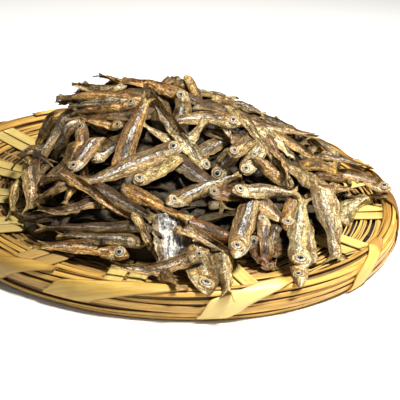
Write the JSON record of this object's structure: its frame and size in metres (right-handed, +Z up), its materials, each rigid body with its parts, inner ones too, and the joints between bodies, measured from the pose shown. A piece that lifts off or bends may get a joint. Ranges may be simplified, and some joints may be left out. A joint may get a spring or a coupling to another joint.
{
  "type": "heap of small dried fish on a round woven tray",
  "caption": "Heap of small whole dried fish on a shallow round tray woven from golden splints, with paired radial strips and a ribbon-bound rim.",
  "frame": {"origin": "middle of the tray, on the surface that it stands on", "axes": "+Z up, the tray's axis; +X to the right and -Y to the front of the pictured view"},
  "size_m": [0.299, 0.2984, 0.0799],
  "materials": {
    "dried_fish": "dry skin, brown and silver, satin",
    "woven_splint": "split plant fibre, matt",
    "golden_splint": "split plant fibre, satin",
    "dark_splint": "split plant fibre, matt",
    "pale_splint": "split plant fibre, satin"
  },
  "bodies": {
    "root": {"heap": "dried_fish", "woven_floor": "woven_splint", "wall_hoop_1": "golden_splint", "wall_hoop_2": "dark_splint", "wall_hoop_3": "golden_splint", "crest_hoop": "golden_splint", "arm_01_a": "pale_splint", "arm_01_b": "pale_splint", "arm_02_a": "pale_splint", "arm_02_b": "pale_splint", "arm_03_a": "pale_splint", "arm_03_b": "pale_splint", "arm_04_a": "pale_splint", "arm_04_b": "pale_splint", "arm_05_a": "pale_splint", "arm_05_b": "pale_splint", "arm_06_a": "pale_splint", "arm_06_b": "pale_splint", "arm_07_a": "pale_splint", "arm_07_b": "pale_splint", "arm_08_a": "pale_splint", "arm_08_b": "pale_splint", "arm_09_a": "pale_splint", "arm_09_b": "pale_splint", "arm_10_a": "pale_splint", "arm_10_b": "pale_splint", "arm_11_a": "pale_splint", "arm_11_b": "pale_splint", "arm_12_a": "pale_splint", "arm_12_b": "pale_splint", "arm_13_a": "pale_splint", "arm_13_b": "pale_splint", "arm_14_a": "pale_splint", "arm_14_b": "pale_splint", "arm_16_a": "pale_splint", "arm_16_b": "pale_splint", "ribbon_01": "golden_splint", "ribbon_02": "golden_splint", "ribbon_03": "golden_splint", "ribbon_04": "golden_splint", "ribbon_05": "golden_splint", "ribbon_06": "golden_splint", "ribbon_07": "golden_splint", "ribbon_08": "golden_splint", "ribbon_09": "golden_splint", "ribbon_10": "golden_splint", "ribbon_11": "golden_splint", "ribbon_12": "golden_splint", "ribbon_13": "golden_splint", "ribbon_14": "golden_splint", "ribbon_16": "golden_splint"}
  },
  "joints": []
}
